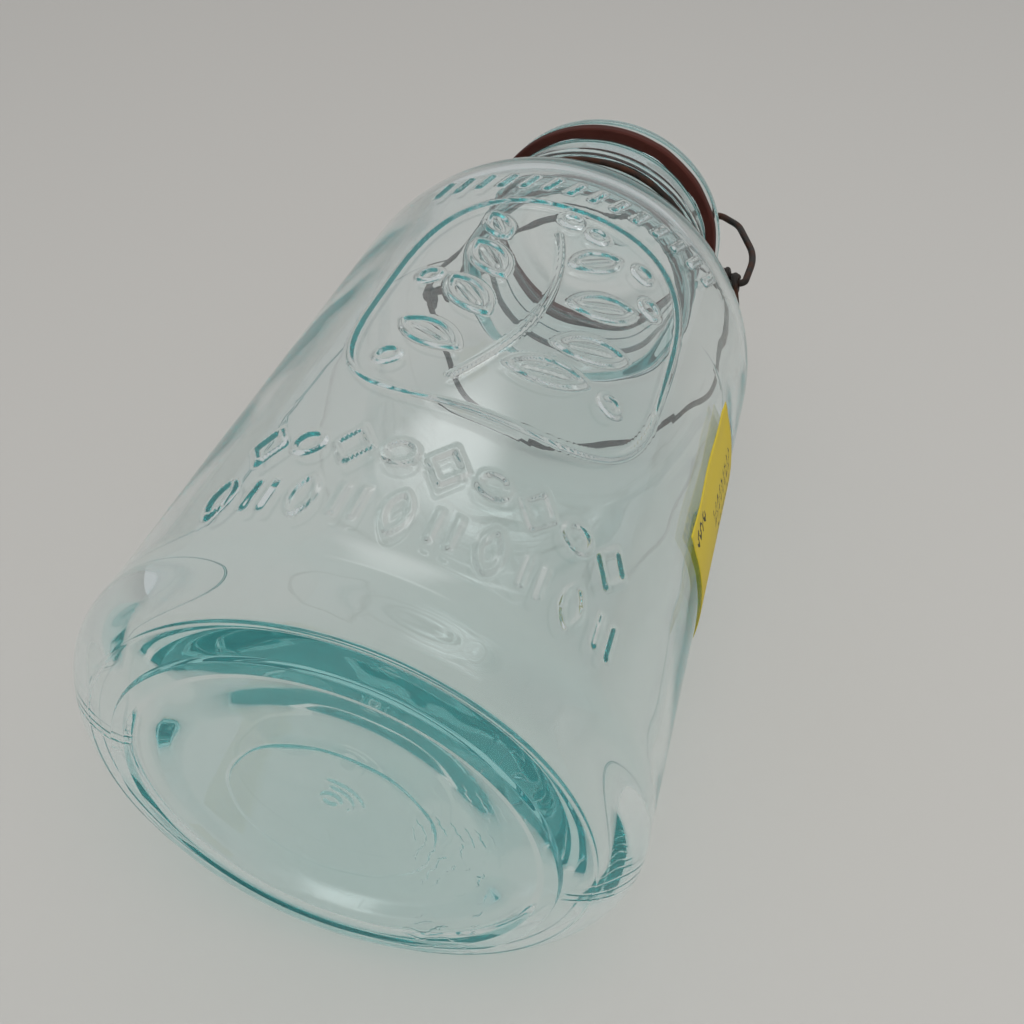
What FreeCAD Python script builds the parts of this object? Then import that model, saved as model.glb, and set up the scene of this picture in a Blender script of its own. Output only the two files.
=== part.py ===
"""Glass canning jar with a glass lid, a rubber ring and a wire bail closure.

The jar is drawn standing up, axis on Z and base ring on Z = 0, and is then laid on
its side: its axis runs along +Y, the base end looks towards -Y and the lid end
towards +Y. It lies on a narrow flat along its lowest line, on Z = 0.
Sizes are millimetres.
"""
import FreeCAD, Part
import math
import os

from FreeCAD import Vector

# ---- glass jar -----------------------------------------------------------------
BODY_RADIUS = 51.0            # straight wall, outside
WALL = 3.0                    # wall thickness of the body and shoulder
SHOULDER_START = 135.8        # height where the straight wall ends
SHOULDER_TURN = 57.0          # degrees that the shoulder's round turns inwards
SHOULDER_SLOPE = 2.3          # radial run of the straight slope up to the neck
NECK_RADIUS = 31.4            # outside of the neck
NECK_WALL = 4.0
NECK_LENGTH = 30.84           # from the shoulder's slope to the sealing lip
NECK_FILLET = 4.0             # hollow between shoulder and neck
LIP_STEP = 0.6                # lip stands out from the neck
LIP_DEPTH = 9.0               # height of the thickened lip
LIP_SLOPE = 1.0               # axial run of the lip's lower side
LIP_ROUND = 1.2
BEAD_STEP = 2.2               # ledge over the neck wire stands out from the neck
BEAD_HEIGHT = 3.0
BEAD_SLOPE = 0.6              # axial run of the bead's lower side; its upper side has twice
BEAD_ROUND = 0.8
HEEL_ACROSS = 17.6            # heel: quarter ellipse, radial half axis
HEEL_UP = 11.4                # heel: quarter ellipse, axial half axis
RING_INSET = 12.0             # bearing ring's outer edge, in from the straight wall
RING_WIDTH = 2.8
RING_STAND = 0.5              # height of the ring above the heel's lowest circle
RING_SLOPE = 1.2              # radial run of the ring's inner side
RING_BEVEL = 0.4              # radial run of the ring's outer side
PUSH_UP = 2.2                 # height of the base centre above the ring
PUSH_UP_RADIUS = 19.2         # flat disc in the middle of the base
PUSH_UP_ROUND = 40.0          # bend at the disc's edge
EDGE_ROUND = 0.5              # small edges of the ring, the bead and the lip's foot
FLOOR_THICKNESS = 8.2         # glass at the base centre, where the floor is domed up
FLOOR_LOW = 4.9               # lowest ring of the inner floor, above the bearing ring
INNER_HEEL_ACROSS = 5.5       # inner heel: quarter ellipse, radial half axis
INNER_HEEL_UP = 12.0          # inner heel: quarter ellipse, axial half axis
DOME_TOP_RADIUS = 11.0        # the domed floor is level inside this,
DOME_BROW_RADIUS = 24.5       # gets steeper here,
DOME_BROW_DROP = 1.6          # this far below its middle,
DOME_FOOT_RADIUS = 32.0       # and gentler here,
DOME_FOOT_DROP = 3.7          # this far below its middle
DOME_ROUND = 25.0             # bends of the dome
FLOOR_EDGE = 1.0              # level ring between the inner heel and the dome
FLOOR_EDGE_ROUND = 3.0
FLAT_DEPTH = 0.15             # the resting flat, cut from the lowest line

# ---- rubber ring ----------------------------------------------------------------
GASKET_OVERHANG = 2.3         # past the lip, outside
GASKET_SETBACK = 1.0          # back from the mouth, inside
GASKET_THICKNESS = 3.2
GASKET_ROUND = 0.8

# ---- glass lid --------------------------------------------------------------------
LID_OVERHANG = 2.0            # past the lip
LID_RIM_HEIGHT = 4.6
LID_RIM_ROUND = 2.2
LID_SHIFT = 0.8               # the lid sits a little to the ear side
LID_BOSS_RADIUS = 9.5         # raised middle that carries the bail
LID_BOSS_HEIGHT = 11.6        # above the rubber ring
LID_RIM_WIDTH = 10.0          # flat rim, from its edge to the rise of the boss
LID_SEAT_WIDTH = 2.4          # seat inside the mouth's edge, round the hollow
LID_HOLLOW_HEIGHT = 3.6
LID_HOLLOW_SLOPE = 3.0        # radial run of the hollow's side
LID_HOLLOW_ROUND = 4.0
LID_SEAT_ROUND = 1.0
LID_EDGE_ROUND = 1.4          # lower outer edge
LID_RIM_SLOPE = 0.8           # the rim rises this much towards the boss
LID_RISE_ROUND = 10.0         # hollow bend where the boss rises
LID_BOSS_ROUND = 3.0
SADDLE_RADIUS = 21.0          # round of the groove across the boss
SADDLE_DEPTH = 1.9

# ---- wire closure -------------------------------------------------------------------
NECK_WIRE = 1.6               # wire diameters
LEVER_WIRE = 1.8
BAIL_WIRE = 1.8
NECK_WIRE_DROP = 16.0         # neck wire below the lip
NECK_WIRE_SLACK = 0.05        # between the neck and the wire round it
STEM_RUN = 2.4                # straight out from the neck before the stem drops
PIVOT_DROP = 8.0              # ear hinge of the lever below the neck wire
EAR_CLEARANCE = 6.2           # from the lid's edge out to each ear
PIN_CLEARANCE = 0.3           # radial gap between a wire pin and its eye
SIDE_GAP = 1.1                # gap between ear, lever eye and bail along the pins
CRANK = 5.5                   # from the lever's hinge to the bail's hinge
OVER_CENTRE = 10.0            # degrees past dead centre when closed
LEVER_INSET = 3.5             # thumb end short of the straight wall's radius
LEVER_THUMB_HALF = 14.0       # half width of the thumb end
ARM_START_RUN = 6.0           # lever's arm runs this far straight from the bail's eye
ARM_BENDS = [(1.0, 18.0), (5.0, 33.0)]      # inset and reach of each bend of the arm
ARM_ROUNDS = [14.0, 24.0, 16.0, 14.0]       # rounds of its bends, up to the thumb end
REST_GAP = 0.4                # lever to shoulder, and bail to saddle
BAIL_BULGE = 1.0              # outward bow of the bail's arms
BAIL_BULGE_RISE = 14.0        # height of the bow above the bail's hinge
BAIL_TAPER = 6.0              # arms run in by this much above the bow
BAIL_ROUNDS = [1.5, 30.0, 14.0, 6.0, 20.0]  # rounds of its bends, from pin to bar
BAIL_SIDE_GAP = 0.6           # arms turn in this far outside the lid's edge
BAIL_SHOULDER_RISE = 2.7      # height of that turn above the lid's rim
BAIL_BAR_OVERHANG = 5.5       # straight bar past each side of the boss
STEM_THINNING = 0.95          # wire of a stem, and of a bent eye, as a share of the
EYE_THINNING = 0.9            # straight wire's diameter: bending stretches it
EYE_SET_OUT = 0.05            # straight run stands out from its eye by this share
PIN_TAIL = 1.6                # pin length past the inner face of its eye
EAR_TURN = 12.0               # degrees the ears are turned from the floor's level

# ---- price sticker -------------------------------------------------------------------
LABEL_LOW = 62.0              # along the jar, from the base ring
LABEL_HIGH = 104.5
LABEL_WIDTH = 30.0            # round the jar
LABEL_EDGE = 23.0             # degrees of its upper edge above the floor's level
LABEL_THICKNESS = 0.2
LABEL_GAP = 0.03

# ---- worked out from the sizes above ----------------------------------------------------
AXIS_HEIGHT = BODY_RADIUS - FLAT_DEPTH
SHOULDER_RADIUS = ((BODY_RADIUS - NECK_RADIUS - SHOULDER_SLOPE)
                   / (1 - math.cos(math.radians(SHOULDER_TURN))))
SHOULDER_TOP = (SHOULDER_START + SHOULDER_RADIUS * math.sin(math.radians(SHOULDER_TURN))
                + SHOULDER_SLOPE / math.tan(math.radians(SHOULDER_TURN)))
LIP_HEIGHT = SHOULDER_TOP + NECK_LENGTH
LIP_RADIUS = NECK_RADIUS + LIP_STEP
BEAD_RADIUS = NECK_RADIUS + BEAD_STEP
MOUTH_RADIUS = NECK_RADIUS - NECK_WALL
RING_OUTER = BODY_RADIUS - RING_INSET
RING_INNER = RING_OUTER - RING_WIDTH
FLOOR_TOP = PUSH_UP + FLOOR_THICKNESS
INNER_RADIUS = BODY_RADIUS - WALL
GASKET_OUTER = LIP_RADIUS + GASKET_OVERHANG
GASKET_INNER = MOUTH_RADIUS + GASKET_SETBACK
GASKET_TOP = LIP_HEIGHT + GASKET_THICKNESS
LID_RADIUS = LIP_RADIUS + LID_OVERHANG
LID_STEP_RADIUS = LID_RADIUS - LID_RIM_WIDTH
LID_HOLLOW_RADIUS = MOUTH_RADIUS - LID_SEAT_WIDTH
NECK_WIRE_HEIGHT = LIP_HEIGHT - NECK_WIRE_DROP
PIVOT_HEIGHT = NECK_WIRE_HEIGHT - PIVOT_DROP
EAR_REACH = LID_RADIUS + LID_SHIFT + EAR_CLEARANCE
LEVER_REACH = BODY_RADIUS - LEVER_INSET
BAIL_SHOULDER = LID_RADIUS + BAIL_SIDE_GAP
SADDLE_BOTTOM = GASKET_TOP + LID_BOSS_HEIGHT - SADDLE_DEPTH
BAIL_TOP = SADDLE_BOTTOM + REST_GAP + BAIL_WIRE / 2
LENGTH = max(BAIL_TOP + BAIL_WIRE / 2, GASKET_TOP + LID_BOSS_HEIGHT)
LEVER_PLANE = EAR_REACH + (NECK_WIRE + LEVER_WIRE) / 2 + SIDE_GAP
BAIL_PLANE = LEVER_PLANE + (LEVER_WIRE + BAIL_WIRE) / 2 + SIDE_GAP / 2
CRANK_BACK = -CRANK * math.sin(math.radians(OVER_CENTRE))
CRANK_HEIGHT = PIVOT_HEIGHT - CRANK * math.cos(math.radians(OVER_CENTRE))

ORIGIN = Vector(0, 0, 0)
UP = Vector(0, 0, 1)
EAR_AXIS = Vector(1, 0, 0)


def flat(radius, height):
    """A point of a half section, in the XZ plane."""
    return Vector(radius, 0, height)


def rounded_path(points, radii):
    """Straight edges between the points, with a tangent arc of the given radius at
    each inner point; a radius of 0 leaves the corner sharp."""
    edges = []
    start = points[0]
    for before, corner, after, radius in zip(points, points[1:], points[2:], radii):
        to_before = (before - corner).normalize()
        to_after = (after - corner).normalize()
        half_turn = (math.pi - to_before.getAngle(to_after)) / 2
        if radius == 0 or half_turn < 1e-6:
            edges.append(Part.LineSegment(start, corner).toShape())
            start = corner
            continue
        tangent = radius * math.tan(half_turn)
        first = corner + to_before * tangent
        last = corner + to_after * tangent
        inward = (to_before + to_after).normalize()
        middle = corner + inward * (radius / math.cos(half_turn) - radius)
        if (first - start).Length > 1e-6:
            edges.append(Part.LineSegment(start, first).toShape())
        edges.append(Part.Arc(first, middle, last).toShape())
        start = last
    edges.append(Part.LineSegment(start, points[-1]).toShape())
    return edges


def turned(edges):
    """Solid made by turning a closed half section about the jar's axis."""
    face = Part.Face(Part.Wire(Part.__sortEdges__(edges)))
    solid = face.revolve(ORIGIN, UP, 360)
    return Part.makeSolid(solid.Shells[0]) if solid.ShapeType != "Solid" else solid


def wire_along(points, radii, diameter):
    """Round wire bent along a path of straight runs and tangent arcs."""
    path = Part.Wire(rounded_path(points, radii))
    tangent = (points[1] - points[0]).normalize()
    profile = Part.Wire([Part.makeCircle(diameter / 2, points[0], tangent)])
    return path.makePipeShell([profile], True, True)


def eye_radius(pin, wire):
    """Radius of an eye's centre line, for the pin that turns in it."""
    return pin / 2 + PIN_CLEARANCE + wire * EYE_THINNING / 2


def eye_reach(pin, wire):
    """From an eye's centre to the middle of the straight wire that joins it."""
    return pin / 2 + PIN_CLEARANCE + wire * (0.5 + EYE_SET_OUT)


def eye(centre, pin, wire):
    """Closed wire eye about the ear axis."""
    return Part.makeTorus(eye_radius(pin, wire), wire * EYE_THINNING / 2, centre, EAR_AXIS)


def mirrored(shape):
    return shape.mirror(ORIGIN, EAR_AXIS)


def ear_turned(shape):
    """Turn a piece of the closure about the jar's axis to where its ears stand."""
    shape.rotate(ORIGIN, UP, -EAR_TURN)
    return shape


def shoulder_point(radius, turn):
    """End of a round that starts on the straight wall and turns inwards."""
    centre = BODY_RADIUS - SHOULDER_RADIUS
    angle = math.radians(turn)
    return flat(centre + radius * math.cos(angle), SHOULDER_START + radius * math.sin(angle))


def shoulder_corner(wall_radius, radius):
    """Where the wall's line meets the slope at the end of the shoulder's round."""
    end = shoulder_point(radius, SHOULDER_TURN)
    slope = math.radians(SHOULDER_TURN)
    run = (wall_radius - end.x) / math.sin(slope)
    return flat(wall_radius, end.z - run * math.cos(slope))


def slope_height(at_radius, radius):
    """Height of the shoulder's end slope where it reaches a smaller radius."""
    end = shoulder_point(radius, SHOULDER_TURN)
    return end.z + (end.x - at_radius) / math.tan(math.radians(SHOULDER_TURN))


def elliptic_heel(wall_radius, across, up, low, end_radius):
    """Quarter ellipse that turns from a straight wall in towards its lowest height,
    and stops at the end radius."""
    centre = flat(wall_radius - across, low + up)
    side, bottom = flat(wall_radius, centre.z), flat(centre.x, low)
    reach = math.acos((end_radius - centre.x) / across)
    if across > up:
        return Part.ArcOfEllipse(Part.Ellipse(side, bottom, centre), 0, reach).toShape()
    quarter = math.pi / 2
    ellipse = Part.Ellipse(bottom, side, centre)
    return Part.ArcOfEllipse(ellipse, quarter - reach, quarter).toShape()


def jar():
    heel = elliptic_heel(BODY_RADIUS, HEEL_ACROSS, HEEL_UP, RING_STAND, RING_OUTER)
    heel_end = min((v.Point for v in heel.Vertexes), key=lambda p: p.z)
    base = rounded_path(
        [flat(0, PUSH_UP), flat(PUSH_UP_RADIUS, PUSH_UP), flat(RING_INNER - RING_SLOPE, RING_STAND),
         flat(RING_INNER, 0), flat(RING_OUTER - RING_BEVEL, 0), heel_end],
        [PUSH_UP_ROUND, EDGE_ROUND, EDGE_ROUND, 0.6 * EDGE_ROUND])

    bead_low = NECK_WIRE_HEIGHT + NECK_WIRE / 2
    bead_high = bead_low + BEAD_HEIGHT
    lip_low = LIP_HEIGHT - LIP_DEPTH
    inner_shoulder = SHOULDER_RADIUS - WALL
    sides = rounded_path(
        [flat(BODY_RADIUS, RING_STAND + HEEL_UP), shoulder_corner(BODY_RADIUS, SHOULDER_RADIUS),
         flat(NECK_RADIUS, slope_height(NECK_RADIUS, SHOULDER_RADIUS)),
         flat(NECK_RADIUS, bead_low), flat(BEAD_RADIUS, bead_low + BEAD_SLOPE),
         flat(BEAD_RADIUS, bead_high), flat(NECK_RADIUS, bead_high + 2 * BEAD_SLOPE),
         flat(NECK_RADIUS, lip_low), flat(LIP_RADIUS, lip_low + LIP_SLOPE),
         flat(LIP_RADIUS, LIP_HEIGHT), flat(MOUTH_RADIUS, LIP_HEIGHT),
         flat(MOUTH_RADIUS, slope_height(MOUTH_RADIUS, inner_shoulder)),
         shoulder_corner(INNER_RADIUS, inner_shoulder),
         flat(INNER_RADIUS, FLOOR_LOW + INNER_HEEL_UP)],
        [SHOULDER_RADIUS, NECK_FILLET, 0.6 * EDGE_ROUND, BEAD_ROUND, BEAD_ROUND, EDGE_ROUND,
         EDGE_ROUND, EDGE_ROUND, LIP_ROUND, LIP_ROUND, NECK_FILLET + WALL, inner_shoulder])

    inner_edge = INNER_RADIUS - INNER_HEEL_ACROSS
    inner_heel = elliptic_heel(INNER_RADIUS, INNER_HEEL_ACROSS, INNER_HEEL_UP, FLOOR_LOW,
                               inner_edge)
    dome = rounded_path(
        [flat(inner_edge, FLOOR_LOW), flat(inner_edge - FLOOR_EDGE, FLOOR_LOW),
         flat(DOME_FOOT_RADIUS, FLOOR_TOP - DOME_FOOT_DROP),
         flat(DOME_BROW_RADIUS, FLOOR_TOP - DOME_BROW_DROP),
         flat(DOME_TOP_RADIUS, FLOOR_TOP), flat(0, FLOOR_TOP)],
        [FLOOR_EDGE_ROUND, DOME_ROUND, DOME_ROUND, PUSH_UP_ROUND])
    axis = [Part.LineSegment(flat(0, PUSH_UP), flat(0, FLOOR_TOP)).toShape()]
    glass = turned(base + [heel] + sides + [inner_heel] + dome + axis)
    keep = Part.makeBox(4 * BODY_RADIUS, 2 * BODY_RADIUS, 2 * LIP_HEIGHT,
                        Vector(-2 * BODY_RADIUS, AXIS_HEIGHT - 2 * BODY_RADIUS, -LIP_HEIGHT / 2))
    return glass.common(keep)


def gasket():
    section = [flat(GASKET_INNER, LIP_HEIGHT), flat(GASKET_OUTER, LIP_HEIGHT),
               flat(GASKET_OUTER, GASKET_TOP), flat(GASKET_INNER, GASKET_TOP),
               flat(GASKET_INNER, LIP_HEIGHT)]
    return turned(rounded_path(section, [GASKET_ROUND, GASKET_ROUND, 0]))


def lid():
    rim_top = GASKET_TOP + LID_RIM_HEIGHT
    boss_top = GASKET_TOP + LID_BOSS_HEIGHT
    hollow = GASKET_TOP + LID_HOLLOW_HEIGHT
    section = [flat(0, hollow), flat(LID_HOLLOW_RADIUS - LID_HOLLOW_SLOPE, hollow),
               flat(LID_HOLLOW_RADIUS, GASKET_TOP), flat(LID_RADIUS, GASKET_TOP),
               flat(LID_RADIUS, rim_top), flat(LID_STEP_RADIUS, rim_top + LID_RIM_SLOPE),
               flat(LID_BOSS_RADIUS, boss_top), flat(0, boss_top)]
    radii = [LID_HOLLOW_ROUND, LID_SEAT_ROUND, LID_EDGE_ROUND, LID_RIM_ROUND, LID_RISE_ROUND,
             LID_BOSS_ROUND]
    edges = rounded_path(section, radii)
    edges.append(Part.LineSegment(flat(0, boss_top), flat(0, hollow)).toShape())
    glass = turned(edges)
    groove = Part.makeCylinder(SADDLE_RADIUS, 2 * LID_RADIUS,
                               Vector(-LID_RADIUS, 0, SADDLE_BOTTOM + SADDLE_RADIUS), EAR_AXIS)
    glass = glass.cut(groove)
    glass.translate(Vector(LID_SHIFT, 0, 0))
    return ear_turned(glass)


def neck_wire():
    """Tie wire round the neck, with a stem and an eye at each side."""
    ring_radius = NECK_RADIUS + NECK_WIRE / 2 + NECK_WIRE_SLACK
    ring = Part.makeTorus(ring_radius, NECK_WIRE / 2, Vector(0, 0, NECK_WIRE_HEIGHT), UP)
    stem = wire_along([Vector(ring_radius, 0, NECK_WIRE_HEIGHT),
                       Vector(ring_radius + STEM_RUN, 0, NECK_WIRE_HEIGHT),
                       Vector(EAR_REACH, 0, PIVOT_HEIGHT + eye_reach(LEVER_WIRE, NECK_WIRE))],
                      [NECK_WIRE], NECK_WIRE * STEM_THINNING)
    ear = eye(Vector(EAR_REACH, 0, PIVOT_HEIGHT), LEVER_WIRE, NECK_WIRE)
    pieces = [stem, ear, mirrored(stem), mirrored(ear)]
    return ear_turned(ring.multiFuse(pieces).removeSplitter())


def lever_slope():
    """Angle of the closed lever below the square to the axis: its thumb end lies
    REST_GAP off the shoulder's round and LEVER_REACH from its hinge."""
    centre = shoulder_point(0, 0)
    away = flat(-centre.x, PIVOT_HEIGHT - centre.z).Length
    bearing = math.atan2(PIVOT_HEIGHT - centre.z, centre.x)
    contact = SHOULDER_RADIUS + REST_GAP + LEVER_WIRE / 2
    cosine = (away ** 2 + LEVER_REACH ** 2 - contact ** 2) / (2 * away * LEVER_REACH)
    return bearing - math.acos(cosine)


def lever():
    """Locking lever: pins in the ears, an eye for the bail, and a thumb loop that
    lies against the shoulder behind the neck."""
    slope = lever_slope()

    def on_lever(across, reach):
        return Vector(across, reach * math.cos(slope), PIVOT_HEIGHT - reach * math.sin(slope))

    pin_start = Vector(EAR_REACH - NECK_WIRE / 2 - PIN_TAIL / 2, 0, PIVOT_HEIGHT)
    eye_centre = Vector(LEVER_PLANE, CRANK_BACK, CRANK_HEIGHT)
    reach = Vector(0, 0, eye_reach(BAIL_WIRE, LEVER_WIRE))
    crank = wire_along([pin_start, Vector(LEVER_PLANE, 0, PIVOT_HEIGHT), eye_centre + reach],
                       [0.8 * LEVER_WIRE], LEVER_WIRE)
    bail_eye = eye(eye_centre, BAIL_WIRE, LEVER_WIRE)
    arm_start = eye_centre - reach
    points = [arm_start, arm_start + Vector(0, ARM_START_RUN, 0)]
    points += [on_lever(LEVER_PLANE - inset, reach) for inset, reach in ARM_BENDS]
    points.append(on_lever(LEVER_THUMB_HALF, LEVER_REACH))
    mirror_points = [Vector(-p.x, p.y, p.z) for p in reversed(points)]
    loop = wire_along(points + mirror_points, ARM_ROUNDS + ARM_ROUNDS[::-1], LEVER_WIRE)
    pieces = [crank, bail_eye, mirrored(crank), mirrored(bail_eye)]
    return ear_turned(loop.multiFuse(pieces).removeSplitter())


def bail():
    """Bail: pins in the lever's eyes, bowed arms, and a bar across the lid."""
    side = [Vector(LEVER_PLANE - LEVER_WIRE / 2 - PIN_TAIL / 2, CRANK_BACK, CRANK_HEIGHT),
            Vector(BAIL_PLANE, CRANK_BACK, CRANK_HEIGHT),
            Vector(BAIL_PLANE + BAIL_BULGE, CRANK_BACK, CRANK_HEIGHT + BAIL_BULGE_RISE),
            Vector(BAIL_SHOULDER + BAIL_TAPER, CRANK_BACK, GASKET_TOP),
            Vector(BAIL_SHOULDER, CRANK_BACK, GASKET_TOP + LID_RIM_HEIGHT + BAIL_SHOULDER_RISE),
            Vector(LID_BOSS_RADIUS + BAIL_BAR_OVERHANG, CRANK_BACK, BAIL_TOP)]
    other = [Vector(-p.x, p.y, p.z) for p in reversed(side)]
    return ear_turned(wire_along(side + other, BAIL_ROUNDS + BAIL_ROUNDS[::-1], BAIL_WIRE))


def label():
    """Price sticker: a thin curved sheet on the straight wall."""
    inner = BODY_RADIUS + LABEL_GAP
    sweep = math.degrees(LABEL_WIDTH / inner)
    height = LABEL_HIGH - LABEL_LOW
    base = Vector(0, 0, LABEL_LOW)
    sheet = Part.makeCylinder(inner + LABEL_THICKNESS, height, base, UP, sweep).cut(
        Part.makeCylinder(inner, height, base, UP, 360))
    sheet.rotate(ORIGIN, UP, -LABEL_EDGE)
    return sheet


def laid_down(shape):
    """Lay a standing piece on its side, centred over the origin."""
    shape.rotate(ORIGIN, EAR_AXIS, -90)
    shape.translate(Vector(0, -LENGTH / 2, AXIS_HEIGHT))
    return shape


def main():
    os.makedirs("parts", exist_ok=True)
    makers = (jar, gasket, lid, neck_wire, lever, bail, label)
    for make in makers:
        solid = laid_down(make())
        solid.exportStep(f"parts/{make.__name__}.step")
        box = solid.BoundBox
        print(f"{make.__name__:10s} valid={solid.isValid()} solids={len(solid.Solids)} "
              f"volume={solid.Volume:.1f} mm3 "
              f"x {box.XMin:.2f}..{box.XMax:.2f} y {box.YMin:.2f}..{box.YMax:.2f} "
              f"z {box.ZMin:.2f}..{box.ZMax:.2f}")


main()
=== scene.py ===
"""Canning jar of aqua glass, lying on its side, with its glass lid, rubber ring and
wire closure.

The jar's axis runs along +Y and the floor is Z = 0. Sizes are metres here; the
outline is written in millimetres and scaled once. Angles round the jar are measured
from +X towards +Z, heights along the jar from its base ring towards its lid.
"""
import math

import bpy
import numpy as np
from mathutils import Matrix, Vector


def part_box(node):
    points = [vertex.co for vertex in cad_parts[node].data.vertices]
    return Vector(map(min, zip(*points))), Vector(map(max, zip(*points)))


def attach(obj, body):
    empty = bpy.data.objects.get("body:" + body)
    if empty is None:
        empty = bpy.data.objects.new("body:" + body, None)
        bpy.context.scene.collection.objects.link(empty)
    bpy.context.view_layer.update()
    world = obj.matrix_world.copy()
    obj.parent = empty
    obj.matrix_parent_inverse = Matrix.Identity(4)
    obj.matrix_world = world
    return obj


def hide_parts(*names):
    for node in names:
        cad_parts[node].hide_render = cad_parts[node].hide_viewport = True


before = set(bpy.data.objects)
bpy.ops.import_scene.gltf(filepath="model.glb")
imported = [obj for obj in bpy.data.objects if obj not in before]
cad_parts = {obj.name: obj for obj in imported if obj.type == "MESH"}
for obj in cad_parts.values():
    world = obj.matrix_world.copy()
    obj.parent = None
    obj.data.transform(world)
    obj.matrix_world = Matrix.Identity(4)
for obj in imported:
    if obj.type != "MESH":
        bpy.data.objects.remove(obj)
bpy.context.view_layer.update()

bl_info = {
    "name": "Canning Jar",
    "version": (1, 0, 0),
    "blender": (4, 5, 0),
    "location": "3D View > Sidebar > Canning Jar",
    "description": "Builds the looks of an aqua glass canning jar with a wire closure",
    "category": "Object",
}

MM = 0.001
JAR_LOW, JAR_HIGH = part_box("jar")
LID_LOW, LID_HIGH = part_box("lid")
GASKET_LOW, GASKET_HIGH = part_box("gasket")
LABEL_LOW, LABEL_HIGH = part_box("label")

BODY = (JAR_HIGH.x - JAR_LOW.x) / 2     # radius of the jar's body
BASE_Y = JAR_LOW.y                      # base ring
AXIS_Z = JAR_HIGH.z - BODY              # axis above the floor
FRONT = math.radians(78.0)              # middle of the embossed front
EAR_TURN = math.radians(12.0)           # ears turned down from the level of the axis
SEAM_TURN = math.radians(10.0)          # mould seam turned down from that level

# The inner heel is a quarter ellipse: its size across and along the jar, and the height
# where it ends. It follows the outer heel on the front and is wider underneath.
FRONT_HEEL = (5.5, 12.0, 4.9)
UNDER_HEEL = (14.6, 8.4, 3.7)
HEEL_STEPS = 9                          # sections between the two

COLUMNS = 132                           # cells round the jar
RELIEF_SPLIT = 5                        # times finer under the ornament
FINE_LINE = 0.85                        # half width of the ornament's lines, mm
BAND_LINE = 0.8                         # the same in its bands

SEAM_HALF = 0.5 * MM                    # half width of the mould seam
FLOOR_HALF = 6.0                        # half the floor's width
BOUNCES = 16


# ---- helpers ----


def linear(hex_colour):
    """An sRGB hex colour as linear RGBA."""
    parts = np.array([int(hex_colour[i:i + 2], 16) for i in (1, 3, 5)]) / 255.0
    low = parts / 12.92
    high = ((parts + 0.055) / 1.055) ** 2.4
    return (*np.where(parts <= 0.04045, low, high).tolist(), 1.0)


def add_node(tree, kind, sockets=None, **settings):
    """Add a node; each socket gets a value, or a link from an output socket."""
    node = tree.nodes.new(kind)
    for name, value in settings.items():
        setattr(node, name, value)
    for name, value in (sockets or {}).items():
        if isinstance(value, bpy.types.NodeSocket):
            tree.links.new(value, node.inputs[name])
        else:
            node.inputs[name].default_value = value
    return node


def new_material(name):
    """An empty node material and its output node."""
    material = bpy.data.materials.new(name)
    material.use_nodes = True
    material.node_tree.nodes.clear()
    output = add_node(material.node_tree, "ShaderNodeOutputMaterial")
    return material, material.node_tree, output


def smooth_step(low, high, value):
    """0 at low and before it, 1 at high and past it, and an S curve between them; low
    may be the larger, which turns it round."""
    part = np.clip((value - low) / (high - low), 0.0, 1.0)
    return part * part * (3.0 - 2.0 * part)


def ridge(distance, half_width):
    """Cross-section of a raised line: a full cosine wave over its width."""
    part = np.clip(np.abs(distance) / half_width, 0.0, 1.0)
    return 0.5 + 0.5 * np.cos(np.pi * part)


def waves(along, around, radius, seed, longest, count=10):
    """Smooth unevenness between about -1 and 1: a sum of plane waves whose lengths
    fall from the longest; around is in radians and its wave numbers are whole."""
    rng = np.random.default_rng(seed)
    total = np.zeros(np.broadcast(along, around).shape)
    for index in range(count):
        scale = 1.0 / (1.0 + 0.22 * index)
        wave_number = 2.0 * np.pi / (longest * scale)
        lean = rng.uniform(-0.5, 0.5) * np.pi
        turns = np.round(wave_number * radius * math.sin(lean))
        total += scale * np.sin(wave_number * math.cos(lean) * along + turns * around
                                + rng.uniform(0.0, 2.0 * np.pi))
    return total / 2.0


def rounded_outline(corners, radii, step=0.06):
    """Points along straight runs joined by tangent arcs. Each inner corner has a
    radius; the arc's centre lies on the corner's bisector."""
    corners = np.asarray(corners, float)
    points = [corners[:1]]
    for before, corner, after, radius in zip(corners, corners[1:], corners[2:], radii):
        back = (before - corner) / np.linalg.norm(before - corner)
        ahead = (after - corner) / np.linalg.norm(after - corner)
        half = 0.5 * math.acos(np.clip(back @ ahead, -1.0, 1.0))
        bisector = (back + ahead) / np.linalg.norm(back + ahead)
        centre = corner + bisector * radius / math.sin(half)
        first = corner + back * radius / math.tan(half)
        last = corner + ahead * radius / math.tan(half)
        start = math.atan2(*(first - centre)[::-1])
        turn = math.atan2(*(last - centre)[::-1]) - start
        turn = (turn + math.pi) % (2.0 * math.pi) - math.pi
        count = max(int(abs(turn) * radius / step), 6)
        angles = start + turn * np.linspace(0.0, 1.0, count)
        arc = centre + radius * np.stack([np.cos(angles), np.sin(angles)], axis=1)
        points.append(arc)
    points.append(corners[-1:])
    return np.concatenate(points)


def evenly(points, count):
    """The same line, read at a number of points equally far apart."""
    gaps = np.linalg.norm(np.diff(points, axis=0), axis=1)
    along = np.concatenate([[0.0], np.cumsum(gaps)])
    places = np.linspace(0.0, along[-1], count)
    return np.stack([np.interp(places, along, points[:, 0]),
                     np.interp(places, along, points[:, 1])], axis=1)


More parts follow.
